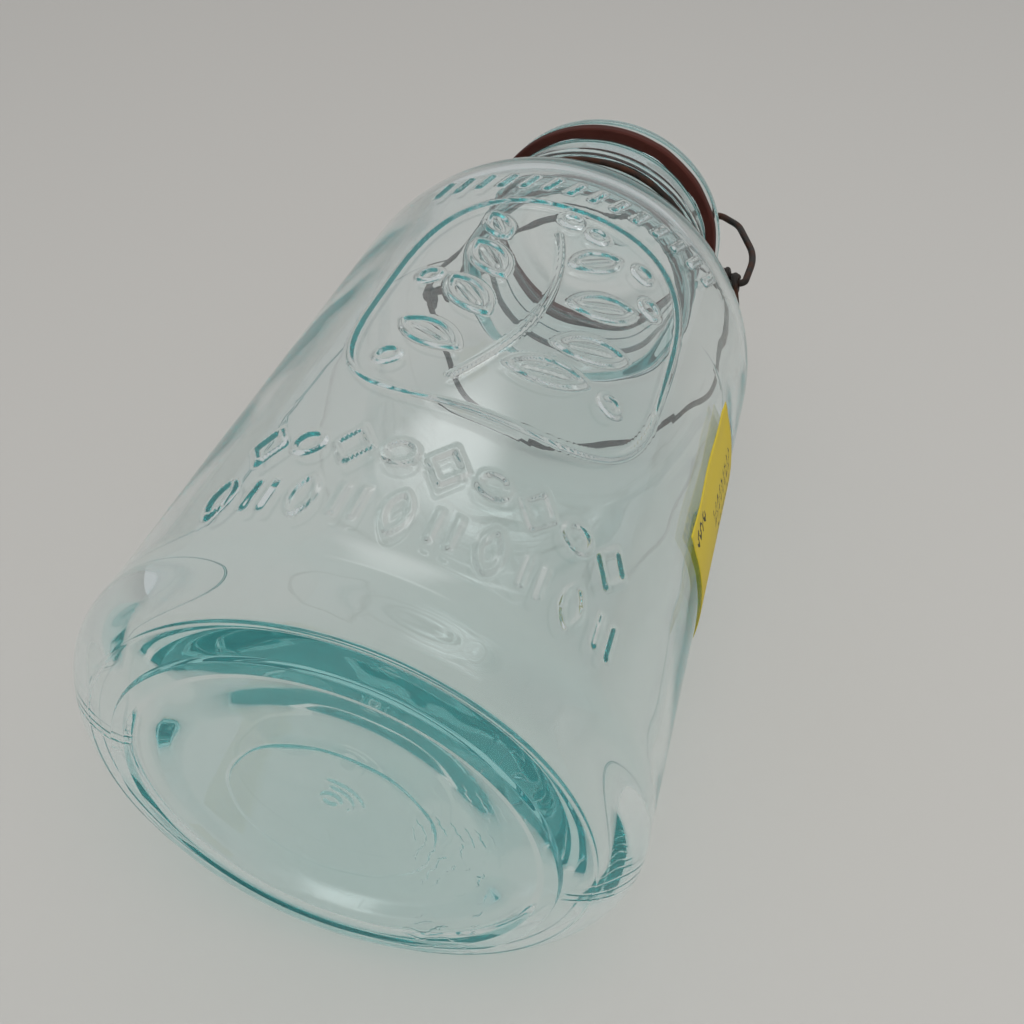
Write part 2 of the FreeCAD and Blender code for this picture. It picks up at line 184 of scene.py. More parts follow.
class Outline:
    """A profile line that can be read at any distance along itself. kept says which of
    the points given are in it: doubled ones are dropped."""

    def __init__(self, points):
        gaps = np.linalg.norm(np.diff(points, axis=0), axis=1)
        self.kept = np.concatenate([[True], gaps > 1e-9])
        self.points = points[self.kept]
        steps = np.diff(self.points, axis=0)
        lengths = np.linalg.norm(steps, axis=1)
        self.along = np.concatenate([[0.0], np.cumsum(lengths)])
        tangents = steps / lengths[:, None]
        between = 0.5 * (tangents[1:] + tangents[:-1])
        tangents = np.concatenate([tangents[:1], between, tangents[-1:]])
        tangents /= np.linalg.norm(tangents, axis=1)[:, None]
        self.normals = np.stack([tangents[:, 1], -tangents[:, 0]], axis=1)
        turns = np.linalg.norm(np.diff(self.normals, axis=0), axis=1)
        self.turning = np.concatenate([[0.0], np.cumsum(turns)])

    def at(self, along):
        """Radius, height and unit normal at distances along the outline."""
        columns = (self.points[:, 0], self.points[:, 1], self.normals[:, 0], self.normals[:, 1])
        return [np.interp(along, self.along, column) for column in columns]

    def rows(self, longest, turn, close=None):
        """Distances of rows that lie at most longest apart, with at most turn of
        bend between them; close adds more where its function says so."""
        middle = 0.5 * (self.along[1:] + self.along[:-1])
        need = np.diff(self.along) / longest + np.diff(self.turning) / turn
        if close is not None:
            need += np.diff(self.along) * close(middle)
        total = np.concatenate([[0.0], np.cumsum(need)])
        count = int(math.ceil(total[-1])) + 1
        return np.interp(np.linspace(0.0, total[-1], count), total, self.along)


def refined_grid(row_count, column_count, panels, factor):
    """Rows and closed columns of cells, cut factor times finer inside the panels
    (first row, last row, first column, last column). Plain cells beside a panel take
    its edge points as corners, so that no seam opens. Returns each point's row and
    column in coarse steps, and the faces."""
    fine = np.zeros((row_count - 1, column_count), bool)
    for first_row, last_row, first_column, last_column in panels:
        columns = np.arange(first_column, last_column) % column_count
        fine[first_row:last_row, columns] = True
    cells = np.kron(fine, np.ones((factor, factor), bool))
    used = np.zeros((cells.shape[0] + 1, cells.shape[1]), bool)
    used[::factor, ::factor] = True
    for shifted in (cells, np.roll(cells, 1, axis=1)):
        used[:-1] |= shifted
        used[1:] |= shifted
    index = np.full(used.shape, -1)
    index[used] = np.arange(used.sum())
    width = cells.shape[1]

    row, column = np.nonzero(cells)
    beside = (column + 1) % width
    faces = np.stack([index[row, column], index[row + 1, column],
                      index[row + 1, beside], index[row, beside]], axis=1).tolist()

    padded = np.pad(fine, ((1, 1), (0, 0)))
    sides = (padded[:-2], np.roll(fine, -1, axis=1), padded[2:], np.roll(fine, 1, axis=1))
    pattern = sum(side.astype(int) << bit for bit, side in enumerate(sides))
    for code in range(16):
        row, column = np.nonzero(~fine & (pattern == code))
        corners = ((0, 0), (0, factor), (factor, factor), (factor, 0), (0, 0))
        ring = []
        for bit, (start, end) in enumerate(zip(corners, corners[1:])):
            count = factor if code >> bit & 1 else 1
            ring.append(np.linspace(start, end, count + 1)[:-1])
        offsets = np.round(np.concatenate(ring)).astype(int)
        picked = index[row[:, None] * factor + offsets[:, 0],
                       (column[:, None] * factor + offsets[:, 1]) % width]
        faces += picked[:, ::-1].tolist()
    for cap_row, order in ((0, 1), (cells.shape[0], -1)):
        faces.append(index[cap_row, ::factor][::order].tolist())
    rows, columns = np.nonzero(used)
    return rows / factor, columns / factor, faces


def laid_down(radius, angle, height):
    """Points given by radius, angle and height round the jar, in the frame."""
    return np.stack([radius * np.cos(angle), BASE_Y + height, AXIS_Z + radius * np.sin(angle)],
                    axis=-1)


def new_piece(name, points, faces, material, body, node):
    """A smooth mesh object that stands for a node and rides on its body."""
    mesh = bpy.data.meshes.new(name)
    mesh.from_pydata(points.tolist(), [], faces)
    mesh.validate()
    mesh.shade_smooth()
    piece = bpy.data.objects.new(name, mesh)
    bpy.context.scene.collection.objects.link(piece)
    mesh.materials.append(material)
    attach(piece, body)
    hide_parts(node)
    return piece


# ---- sizes and colours a user would change ----


def length(name, description, millimetres):
    """A length that a user may change, in Blender's units."""
    return bpy.props.FloatProperty(name=name, description=description, min=0.0,
                                   default=millimetres * MM, subtype="DISTANCE", unit="LENGTH")


def colour(name, description, hex_colour):
    """A colour that a user may change."""
    return bpy.props.FloatVectorProperty(name=name, description=description, size=4, min=0.0,
                                         max=1.0, default=linear(hex_colour), subtype="COLOR")


class JarSizes(bpy.types.PropertyGroup):
    """Sizes of the blown jar."""

    wall: length("Wall", "Thickness of the glass wall", 3.0)
    shoulder_start: length("Shoulder start", "Height where the straight wall ends", 135.8)
    shoulder_radius: length("Shoulder radius", "Round of the shoulder", 38.0)
    neck_radius: length("Neck radius", "Outside of the neck", 31.4)
    mouth_radius: length("Mouth radius", "Inside of the neck and mouth", 27.4)
    lip_height: length("Lip height", "Sealing lip above the base ring", 200.0)
    heel_across: length("Heel across", "Heel's round, measured across the jar", 17.6)
    heel_up: length("Heel up", "Heel's round, measured along the jar", 11.4)
    floor_thickness: length("Floor", "Glass in the middle of the base", 8.2)
    relief: length("Relief", "Height of the raised ornament", 0.5)
    waviness: length("Waviness", "Unevenness of the inner wall", 0.06)


class JarColours(bpy.types.PropertyGroup):
    """Colours of the pieces and the stage."""

    glass: colour("Glass", "What thick glass lets through", "#5CECEE")
    rubber: colour("Rubber", "Sealing ring", "#30110C")
    wire: colour("Wire", "Darkened steel", "#2A2522")
    rust: colour("Rust", "Stain on the wire", "#4A2B1C")
    paper: colour("Paper", "Price sticker", "#C4AE2C")
    ink: colour("Ink", "Pen strokes on the sticker", "#2B2A1C")
    floor: colour("Floor", "Floor under the jar", "#B7B5B1")


# ---- materials ----


def mould_marks(tree, place):
    """Height of the fine marks in the jar's skin. The mould's seam is a thin line where
    a plane through the axis cuts the wall. Hair lines on one side of the base are the
    crests of a distorted wave of rings, broken up by noise and four times as high."""
    centred = add_node(tree, "ShaderNodeVectorMath",
                       {0: place, 1: (0.0, BASE_Y, AXIS_Z)}, operation="SUBTRACT").outputs[0]

    def along(way):
        """Distance from the middle of the base along a direction."""
        return add_node(tree, "ShaderNodeVectorMath", {0: centred, 1: way},
                        operation="DOT_PRODUCT").outputs["Value"]

    def fade(value, none, full):
        """0 where the value is none, 1 where it is full."""
        return add_node(tree, "ShaderNodeMapRange",
                        {"Value": value, "From Min": none, "From Max": full}).outputs[0]

    def times(first, second):
        return add_node(tree, "ShaderNodeMath", {0: first, 1: second},
                        operation="MULTIPLY").outputs[0]

    off_plane = add_node(tree, "ShaderNodeMath",
                         {0: along((math.sin(SEAM_TURN), 0.0, math.cos(SEAM_TURN)))},
                         operation="ABSOLUTE").outputs[0]
    flat = add_node(tree, "ShaderNodeVectorMath", {0: centred, 1: (1.0, 0.0, 1.0)},
                    operation="MULTIPLY").outputs[0]
    radius = add_node(tree, "ShaderNodeVectorMath", {0: flat}, operation="LENGTH")
    height, sideways, upward = (along((0.0, 1.0, 0.0)), along((0.98, 0.0, -0.1)),
                                along((0.0, 0.0, 1.0)))
    seam = times(fade(off_plane, SEAM_HALF, 0.0), fade(height, 172.0 * MM, 168.0 * MM))
    seam = times(seam, fade(radius.outputs["Value"], 36.0 * MM, 40.0 * MM))
    # rings 2 mm apart, bent by the distortion until they look like cracks in the skin
    rings = add_node(tree, "ShaderNodeTexWave",
                     {"Vector": centred, "Scale": 150.0, "Distortion": 7.0, "Detail": 3.0,
                      "Detail Scale": 1.2}, wave_type="RINGS", rings_direction="Y")
    crests = add_node(tree, "ShaderNodeMapRange", {"Value": rings.outputs["Fac"],
                                                   "From Min": 0.9, "From Max": 1.0})
    patches = add_node(tree, "ShaderNodeTexNoise", {"Vector": centred, "Scale": 120.0})
    broken = add_node(tree, "ShaderNodeMapRange", {"Value": patches.outputs["Fac"],
                                                   "From Min": 0.46, "From Max": 0.56})
    hairs = times(crests.outputs[0], broken.outputs[0])
    for edge in (fade(sideways, 13.0 * MM, 17.0 * MM), fade(sideways, 27.0 * MM, 24.0 * MM),
                 fade(upward, 7.0 * MM, 3.0 * MM), fade(height, 3.0 * MM, 2.4 * MM)):
        hairs = times(hairs, edge)
    hairs = times(hairs, 4.0)
    return add_node(tree, "ShaderNodeMath", {0: seam, 1: hairs}, operation="ADD").outputs[0]


def glass_material(name, colours, density, haze, marked=False):
    """Soda-lime glass, blown or pressed in an iron mould: clear and glossy, colourless
    where thin and sea-green where the eye looks along the thickness, with a thin film of
    dust in clouds. Light rays that only carry shadow or bounce light pass straight
    through, and so does light that has been thrown to and fro inside the wall, as seeds
    and ripples in old glass let it out."""
    material, tree, output = new_material(name)
    place = add_node(tree, "ShaderNodeTexCoord").outputs["Object"]
    # ripples about 18 mm long
    ripples = add_node(tree, "ShaderNodeTexNoise", {"Vector": place, "Scale": 55.0,
                                                    "Detail": 1.0})
    bump = add_node(tree, "ShaderNodeBump",
                    {"Strength": 0.12, "Distance": 0.5 * MM, "Height": ripples.outputs["Fac"]})
    if marked:
        bump = add_node(tree, "ShaderNodeBump",
                        {"Strength": 0.7, "Distance": 0.15 * MM,
                         "Height": mould_marks(tree, place), "Normal": bump.outputs["Normal"]})
    glass = add_node(tree, "ShaderNodeBsdfPrincipled",
                     {"Base Color": (1.0, 1.0, 1.0, 1.0), "Roughness": haze, "IOR": 1.52,
                      "Transmission Weight": 1.0, "Normal": bump.outputs["Normal"]})
    clear = add_node(tree, "ShaderNodeBsdfTransparent", {"Color": (0.95, 0.965, 0.96, 1.0)})
    path = add_node(tree, "ShaderNodeLightPath")
    # shadow and bounce light, then light that has met glass five to fourteen times
    either = add_node(tree, "ShaderNodeMath", {0: path.outputs["Is Shadow Ray"],
                                               1: path.outputs["Is Diffuse Ray"]},
                      operation="MAXIMUM")
    leak = add_node(tree, "ShaderNodeMapRange",
                    {"Value": path.outputs["Ray Depth"], "From Min": 5.0, "From Max": 14.0,
                     "To Min": 0.0, "To Max": 1.0})
    straight = add_node(tree, "ShaderNodeMath", {0: either.outputs[0], 1: leak.outputs[0]},
                        operation="MAXIMUM")
    deep = add_node(tree, "ShaderNodeBsdfTransparent", {"Color": linear("#4CC0C2")})
    let_out = add_node(tree, "ShaderNodeMixShader", {0: either.outputs[0],
                                                     1: deep.outputs[0], 2: clear.outputs[0]})
    # clouds of dust about 33 mm across, at most a fiftieth of the light
    cloud = add_node(tree, "ShaderNodeTexNoise", {"Vector": place, "Scale": 30.0, "Detail": 6.0})
    dust = add_node(tree, "ShaderNodeMapRange", {"Value": cloud.outputs["Fac"], "From Min": 0.4,
                                                 "From Max": 0.75, "To Min": 0.0, "To Max": 0.02})
    film = add_node(tree, "ShaderNodeBsdfDiffuse", {"Color": (0.88, 0.88, 0.85, 1.0)})
    dusty = add_node(tree, "ShaderNodeMixShader", {0: dust.outputs[0], 1: glass.outputs[0],
                                                   2: film.outputs[0]})
    surface = add_node(tree, "ShaderNodeMixShader", {0: straight.outputs[0],
                                                     1: dusty.outputs[0], 2: let_out.outputs[0]})
    volume = add_node(tree, "ShaderNodeVolumeAbsorption",
                      {"Color": tuple(colours.glass), "Density": density})
    tree.links.new(surface.outputs[0], output.inputs["Surface"])
    tree.links.new(volume.outputs[0], output.inputs["Volume"])
    return material


def rubber_material(colours):
    """Natural rubber ring, moulded and aged: dull red-brown, with lighter stains in clouds."""
    material, tree, output = new_material("aged_natural_rubber")
    place = add_node(tree, "ShaderNodeTexCoord").outputs["Object"]
    # stains about 11 mm across and a grain of about 1 mm
    cloud = add_node(tree, "ShaderNodeTexNoise", {"Vector": place, "Scale": 90.0, "Detail": 6.0})
    grain = add_node(tree, "ShaderNodeTexNoise", {"Vector": place, "Scale": 900.0, "Detail": 3.0})
    tone = add_node(tree, "ShaderNodeMix", {"Factor": cloud.outputs["Fac"],
                                            "A": tuple(colours.rubber), "B": linear("#4E2118")},
                    data_type="RGBA")
    bump = add_node(tree, "ShaderNodeBump", {"Strength": 0.5, "Distance": 0.15 * MM,
                                             "Height": grain.outputs["Fac"]})
    skin = add_node(tree, "ShaderNodeBsdfPrincipled",
                    {"Base Color": tone.outputs["Result"], "Roughness": 0.65, "IOR": 1.52,
                     "Specular IOR Level": 0.25, "Normal": bump.outputs["Normal"]})
    tree.links.new(skin.outputs[0], output.inputs["Surface"])
    return material


def wire_material(colours):
    """Drawn steel wire, darkened with age: nearly black, with dull rust in patches."""
    material, tree, output = new_material("oxidised_steel_wire")
    place = add_node(tree, "ShaderNodeTexCoord").outputs["Object"]
    # rust in patches of about 4 mm
    patches = add_node(tree, "ShaderNodeTexNoise", {"Vector": place, "Scale": 260.0,
                                                    "Detail": 6.0})
    spread = add_node(tree, "ShaderNodeMapRange", {"Value": patches.outputs["Fac"],
                                                   "From Min": 0.45, "From Max": 0.68})
    tone = add_node(tree, "ShaderNodeMix", {"Factor": spread.outputs[0],
                                            "A": tuple(colours.wire), "B": tuple(colours.rust)},
                    data_type="RGBA")
    rough = add_node(tree, "ShaderNodeMapRange", {"Value": patches.outputs["Fac"],
                                                  "To Min": 0.35, "To Max": 0.75})
    bump = add_node(tree, "ShaderNodeBump", {"Strength": 0.6, "Distance": 0.08 * MM,
                                             "Height": patches.outputs["Fac"]})
    steel = add_node(tree, "ShaderNodeBsdfPrincipled",
                     {"Base Color": tone.outputs["Result"], "Metallic": 0.6,
                      "Roughness": rough.outputs[0], "Normal": bump.outputs["Normal"]})
    tree.links.new(steel.outputs[0], output.inputs["Surface"])
    return material


def paper_material(colours):
    """Matt sticker paper, printed flat yellow, with three rows of pen scrawl. A row is a
    line that swings to and fro with a wave along the sheet."""
    material, tree, output = new_material("sticker_paper")
    sheet = add_node(tree, "ShaderNodeUVMap", uv_map="sheet").outputs["UV"]
    fibre = add_node(tree, "ShaderNodeTexNoise", {"Vector": sheet, "Scale": 60.0, "Detail": 5.0})
    parts = add_node(tree, "ShaderNodeSeparateXYZ", {"Vector": sheet})
    pen = add_node(tree, "ShaderNodeTexWave", {"Vector": sheet, "Scale": 5.0, "Distortion": 4.0,
                                               "Detail": 3.0, "Detail Scale": 3.0})
    strokes = 0.0
    pen_half = 0.02                     # half the pen line, as a share of the sheet
    for row, tall, middle, half in ((0.38, 0.12, 0.70, 0.22), (0.62, 0.14, 0.66, 0.26),
                                    (0.87, 0.07, 0.16, 0.11)):
        line = add_node(tree, "ShaderNodeMapRange",
                        {"Value": pen.outputs["Fac"], "To Min": row - tall / 2,
                         "To Max": row + tall / 2}).outputs[0]
        near = add_node(tree, "ShaderNodeMath", {0: parts.outputs["Y"], 1: line, 2: pen_half},
                        operation="COMPARE").outputs[0]
        inside = add_node(tree, "ShaderNodeMath", {0: parts.outputs["X"], 1: middle, 2: half},
                          operation="COMPARE").outputs[0]
        strokes = add_node(tree, "ShaderNodeMath", {0: near, 1: inside, 2: strokes},
                           operation="MULTIPLY_ADD").outputs[0]
    tone = add_node(tree, "ShaderNodeMix", {"Factor": strokes,
                                            "A": tuple(colours.paper), "B": tuple(colours.ink)},
                    data_type="RGBA")
    bump = add_node(tree, "ShaderNodeBump", {"Strength": 0.25, "Distance": 0.05 * MM,
                                             "Height": fibre.outputs["Fac"]})
    paper = add_node(tree, "ShaderNodeBsdfPrincipled",
                     {"Base Color": tone.outputs["Result"], "Roughness": 0.6, "IOR": 1.45,
                      "Normal": bump.outputs["Normal"]})
    tree.links.new(paper.outputs[0], output.inputs["Surface"])
    return material


# ---- jar ----


def jar_outline(sizes, inner_across, inner_up, low):
    """Closed section of the jar, in millimetres, from the middle of the base round
    the outside, over the lip and down the inside to the middle of the floor. The
    inner heel is a quarter ellipse that ends at the height low."""
    body, wall = BODY / MM, sizes.wall / MM
    start, round_out = sizes.shoulder_start / MM, sizes.shoulder_radius / MM
    neck, mouth, lip = sizes.neck_radius / MM, sizes.mouth_radius / MM, sizes.lip_height / MM
    across, up = sizes.heel_across / MM, sizes.heel_up / MM
    hollow = 2.2                                # the base's middle above its ring
    floor = hollow + sizes.floor_thickness / MM
    bead, bead_low = 33.6, 184.8                # the neck's bead: radius and lower edge
    rest = 39.0                                 # outer edge of the base ring
    turn = math.radians(57.0)                   # the shoulder turns this far, then runs on
    centre = body - round_out

    def slope_corner(wall_radius, radius):
        """Where the straight wall meets the shoulder's slope."""
        end = (centre + radius * math.cos(turn), start + radius * math.sin(turn))
        run = (wall_radius - end[0]) / math.sin(turn)
        return wall_radius, end[1] - run * math.cos(turn)

    def slope_height(at_radius, radius):
        """Height of the shoulder's slope at a radius."""
        end = (centre + radius * math.cos(turn), start + radius * math.sin(turn))
        return end[1] + (end[0] - at_radius) / math.tan(turn)

    heel_centre = body - across
    reach = math.acos((rest - heel_centre) / across)
    heel_low = up + 0.5 - up * math.sin(reach)
    base = rounded_outline(
        [(0.05, hollow), (19.2, hollow), (35.0, 0.5), (36.2, 0.0), (38.6, 0.0),
         (rest, heel_low)],
        [40.0, 1.0, 0.5, 0.3])
    angles = np.linspace(reach, 0.0, 200)
    heel = np.stack([heel_centre + across * np.cos(angles), up + 0.5 - up * np.sin(angles)],
                    axis=1)
    outside = rounded_outline(
        [(body, up + 0.5), slope_corner(body, round_out), (neck, slope_height(neck, round_out)),
         (neck, bead_low), (bead, bead_low + 0.6), (bead, bead_low + 3.0),
         (neck, bead_low + 4.2), (neck, lip - 9.0), (32.0, lip - 8.0), (32.0, lip), (mouth, lip),
         (mouth, slope_height(mouth, round_out - wall)),
         slope_corner(body - wall, round_out - wall), (body - wall, low + inner_up)],
        [round_out, 4.0, 0.3, 0.8, 0.8, 0.5, 0.5, 0.5, 1.2, 1.2, 4.0 + wall, round_out - wall])
    angles = np.linspace(0.0, math.pi / 2, 100)
    corner = np.stack([body - wall - inner_across * (1.0 - np.cos(angles)),
                       low + inner_up * (1.0 - np.sin(angles))], axis=1)
    heel_end = body - wall - inner_across
    rise = np.interp(inner_across, (FRONT_HEEL[0], UNDER_HEEL[0]), (25.0, 7.0))
    dome = rounded_outline(
        [(heel_end, low), (heel_end - 1.0, low), (30.0, floor - 3.1), (24.5, floor - 1.6),
         (11.0, floor), (0.05, floor)],
        [2.0, rise, 20.0, 40.0])
    return np.concatenate([base, heel, outside, evenly(np.concatenate([corner, dome]), 700)])


def frame_line(x, y):
    """Distance from the cartouche's line, a rounded shape between an ellipse and a
    rectangle, found from its implicit formula divided by its slope."""
    a, b, power = 31.0, 36.0, 3.2
    u, v = np.abs(x) / a + 1e-6, np.abs(y) / b + 1e-6
    value = u ** power + v ** power
    slope = power * np.hypot(u ** (power - 1) / a, v ** (power - 1) / b)
    return (value - 1.0) / slope


def leaf_line(x, y, at, angle, size):
    """Signed distance from the edge of a leaf: two arcs that meet in points. Inside
    is negative. The second value is the distance from its middle rib."""
    c, s = math.cos(angle), math.sin(angle)
    along = (x - at[0]) * c + (y - at[1]) * s
    across = -(x - at[0]) * s + (y - at[1]) * c
    half, width = size / 2, size * 0.21
    radius = (half * half + width * width) / (2 * width)
    edge = np.hypot(along, np.abs(across) + radius - width) - radius
    rib = np.hypot(np.maximum(np.abs(along) - half * 0.55, 0.0), across)
    return edge, rib


def front_relief(x, y):
    """Raised ornament of the jar's front, 0 to 1, at x to the right and y up from
    the base ring, in millimetres."""
    line = FINE_LINE
    relief = ridge(frame_line(x, y - 87.0), line)
    stem = 2.5 - 9.5 * ((y - 91.0) / 33.0) ** 2
    inside = (y > 58.0) & (y < 112.0)
    relief = np.maximum(relief, np.where(inside, ridge(x - stem, line), 0.0))
    # middle, lean and length of each leaf, then the middles of the berries
    leaves = [(-15, 70, 2.6, 15), (-12, 84, 2.3, 15), (-12, 98, 2.2, 15), (-14, 111, 2.1, 11),
              (8, 68, 0.3, 15), (14, 80, 0.5, 15), (13, 94, 0.6, 15), (8, 107, 0.8, 13)]
    for cx, cy, angle, size in leaves:
        edge, rib = leaf_line(x, y, (cx, cy), angle, size)
        relief = np.maximum(relief, np.maximum(ridge(edge, line), 0.6 * ridge(rib, 0.7)))
    for cx, cy in ((-20, 62), (21, 69), (22, 103), (-22, 90), (0, 118), (6, 116), (18, 112)):
        away = np.hypot(x - cx, y - cy)
        relief = np.maximum(relief, ridge(away - 2.2, line))
    return np.maximum(relief, border_relief(x, y))


def border_relief(x, y):
    """Two bands of raised motifs under the cartouche, and one on the shoulder: lozenges
    and rings in turn, leaves and pairs of bars in turn, and slanted bars. Each motif is
    the distance from its outline, repeated at a pitch."""
    line = BAND_LINE
    relief = np.zeros_like(x)
    for centre, pitch, count in ((36.3, 7.9, 9), (23.5, 7.6, 10)):
        place = x / pitch + count / 2
        number = np.floor(place)
        inside = (number >= 0) & (number < count)
        u, v = (place - number - 0.5) * pitch, y - centre
        lozenge = (np.abs(u) / 3.1 + np.abs(v) / 4.4 - 1.0) / math.hypot(1 / 3.1, 1 / 4.4)
        bars = np.maximum(np.abs(np.abs(u) - 1.6) - 0.1, np.abs(v) - 3.0)
        leaf, _ = leaf_line(u, v, (0.0, 0.0), math.pi / 2, 9.0)
        ring = np.hypot(u, v) - 2.6
        first = np.where(number % 2 == 0, lozenge, ring)
        second = np.where(number % 2 == 0, leaf, np.maximum(bars, 0.0))
        shape = first if centre > 30.0 else second
        relief = np.maximum(relief, np.where(inside, ridge(shape, line), 0.0))
    pitch, count = 5.2, 14
    place = x / pitch + count / 2
    number = np.floor(place)
    u, v = (place - number - 0.5) * pitch, y - 131.5
    lean = u - 0.35 * v
    slanted = np.maximum(np.abs(lean) - 0.2, np.abs(v) - 2.4)
    inside = (number >= 0) & (number < count)
    return np.maximum(relief, np.where(inside, ridge(np.maximum(slanted, 0.0), line), 0.0))


def base_relief(x, y, radius, angle):
    """Marks under the base: the crease left by the cut-off shears, a sunk circle whose
    radius wanders and whose depth fades with the angle, a small raised ring with two arcs
    beside it, and the parting line on the heel."""
    wander = (0.5 * np.sin(angle + 2.6) + 0.35 * np.sin(2 * angle + 0.4)
              + 0.12 * np.sin(9 * angle))
    strength = smooth_step(-1.9, -0.4, np.cos(angle - 1.5)) * (0.75 + 0.25 * np.sin(7 * angle))
    crease = ridge(radius - 18.2 - wander - 0.8 * np.cos(angle - 3.4), 0.45) * strength
    away, side = np.hypot(x, y - 4.0), np.arctan2(y - 4.0, x)
    arcs = ridge(away - 3.6, 0.6) * smooth_step(0.3, 0.6, np.cos(side - 0.4))
    arcs += ridge(away - 5.4, 0.6) * smooth_step(0.5, 0.8, np.cos(side - 0.7))
    parting = 0.35 * ridge(radius - 44.0, 0.35)
    return ridge(away - 1.5, 0.8) + arcs + parting - crease


def make_jar(sizes, colours):
    """Blown jar: a closed section is turned round the axis, blending from the front
    heel to the heel underneath with the angle. Then its skin is moved along its normal
    by the ornament's relief and by the glass's unevenness."""
    heels = np.linspace(FRONT_HEEL, UNDER_HEEL, HEEL_STEPS)
    outline = Outline(jar_outline(sizes, *heels[0]))
    sections = [jar_outline(sizes, *heel)[outline.kept] for heel in heels]
    side_end = outline.along[np.argmax(outline.points[:, 1])]

    def marks(along):
        """Extra rows for each millimetre, where the base has marks."""
        radius, height, _, _ = outline.at(along)
        near = (along < side_end) & (height < 4.0)
        extra = np.where(near & (radius > 16.3) & (radius < 20.7), 7.5, 0.0)
        extra += np.where(near & (radius < 11.0), 2.5, 0.0)
        return extra + np.where(near & (radius > 43.3) & (radius < 44.7), 4.0, 0.0)

    rows = outline.rows(2.4, math.radians(5.5), marks)
    column_turn = 2.0 * np.pi / COLUMNS
    radius, height, _, _ = outline.at(rows)
    outside = (rows < side_end) & (radius > 44.0)

    def band(low, high):
        """First and last row between two heights."""
        found = np.nonzero(outside & (height > low) & (height < high))[0]
        return found[0] - 1, found[-1] + 1

    def columns(right, left):
        """First and last column, given degrees to each side of the front."""
        return (int((FRONT - math.radians(right)) / column_turn),
                int((FRONT + math.radians(left)) / column_turn) + 1)

    panels = [(*band(51.0, 124.0), *columns(39, 39)), (*band(18.5, 41.5), *columns(44, 46)),
              (*band(128.5, 134.5), *columns(43, 43))]
    row, column, faces = refined_grid(len(rows), COLUMNS, panels, RELIEF_SPLIT)
    along = np.interp(row, np.arange(len(rows)), rows)
    angle = column * column_turn
    radius, height, across, up = outline.at(along)
    inner = along > side_end
    share = smooth_step(0.42, 0.0, np.cos(angle - math.radians(65.0))) * (HEEL_STEPS - 1)
    weights = np.maximum(1.0 - np.abs(share - np.arange(HEEL_STEPS)[:, None]), 0.0)
    for part, values in enumerate((radius, height)):
        read = np.stack([np.interp(along, outline.along, section[:, part])
                         for section in sections])
        values[:] = (read * weights).sum(axis=0)

    body = BODY / MM
    lift = 0.5 * (1.0 + np.sin(angle))          # 0 along the lowest line, 1 on top
    x = -(angle - FRONT) * body
    relief = np.where(inner | (height < 15.0) | (height > 137.0), 0.0, front_relief(x, height))
    marked = base_relief(radius * np.cos(angle), radius * np.sin(angle), radius, angle)
    under = np.where(~inner & (height < 5.0) & (radius < 46.0), marked, 0.0)
    away = smooth_step(2.0, 14.0, radius)
    on_side = smooth_step(42.0, 50.0, radius) * smooth_step(8.0, 16.0, height)
    room = smooth_step(0.0, 6.0, np.abs(along - side_end))
    wall_noise = waves(along, angle, body, 3, 90.0)
    inner_noise = waves(along, angle, body, 8, 70.0)
    high, wavy = sizes.relief / MM, sizes.waviness / MM
    # the wall is drawn in by the ornament's height, so that it stays in the jar's box
    skin = on_side * (-(high + 0.1) * lift + 0.07 * lift * wall_noise + high * relief)
    move = np.where(inner, -wavy * inner_noise * away * room, skin + 0.35 * under)
    radius = np.maximum(radius + across * move, 0.0)
    height = height + up * move
    points = laid_down(radius * MM, angle, height * MM)
    points[:, 2] = np.maximum(points[:, 2], 0.0)
    material = glass_material("blown_aqua_glass", colours, 14.0, 0.0, marked=True)
    return new_piece("jar_glass", points, faces, material, "jar", "jar")


# ---- lid ----


def make_lid(colours):
    """Pressed lid: a closed section turned round its own axis. The groove for the bail
    is an arc along the ears' line, and the boss is cut down to it."""
    top = GASKET_HIGH.y
    middle = (LID_LOW.x + LID_HIGH.x) / 2, (LID_LOW.z + LID_HIGH.z) / 2
    rim = (LID_HIGH.x - LID_LOW.x) / 2 / MM
    boss = (LID_HIGH.y - top) / MM
    outline = Outline(rounded_outline(
        [(0.05, boss), (9.5, boss), (24.0, 5.4), (rim, 4.6), (rim, 0.0), (25.0, 0.0),
         (22.0, 3.6), (0.05, 3.6)],
        [3.0, 10.0, 2.2, 1.4, 1.0, 4.0])[::-1])
    rows = outline.rows(0.9, math.radians(12.0))
    column_count = 200
    row, column, faces = refined_grid(len(rows), column_count, [], 1)
    angle = column * 2.0 * np.pi / column_count
    radius, height, _, up = outline.at(np.interp(row, np.arange(len(rows)), rows))
    x, z = radius * np.cos(angle), radius * np.sin(angle)
    side = z * math.cos(EAR_TURN) + x * math.sin(EAR_TURN)
    deep, round_groove = 1.9, 21.0
    groove = (boss - deep + round_groove
              - np.sqrt(np.maximum(round_groove ** 2 - side ** 2, 0.0)))
    height = np.where((up > 0.0) & (height > 4.0), np.minimum(height, groove), height)
    points = np.stack([middle[0] + x * MM, top + height * MM, middle[1] + z * MM], axis=-1)
    material = glass_material("pressed_aqua_glass", colours, 18.0, 0.02)
    return new_piece("lid_glass", points, faces, material, "jar", "lid")


# ---- rubber ring ----


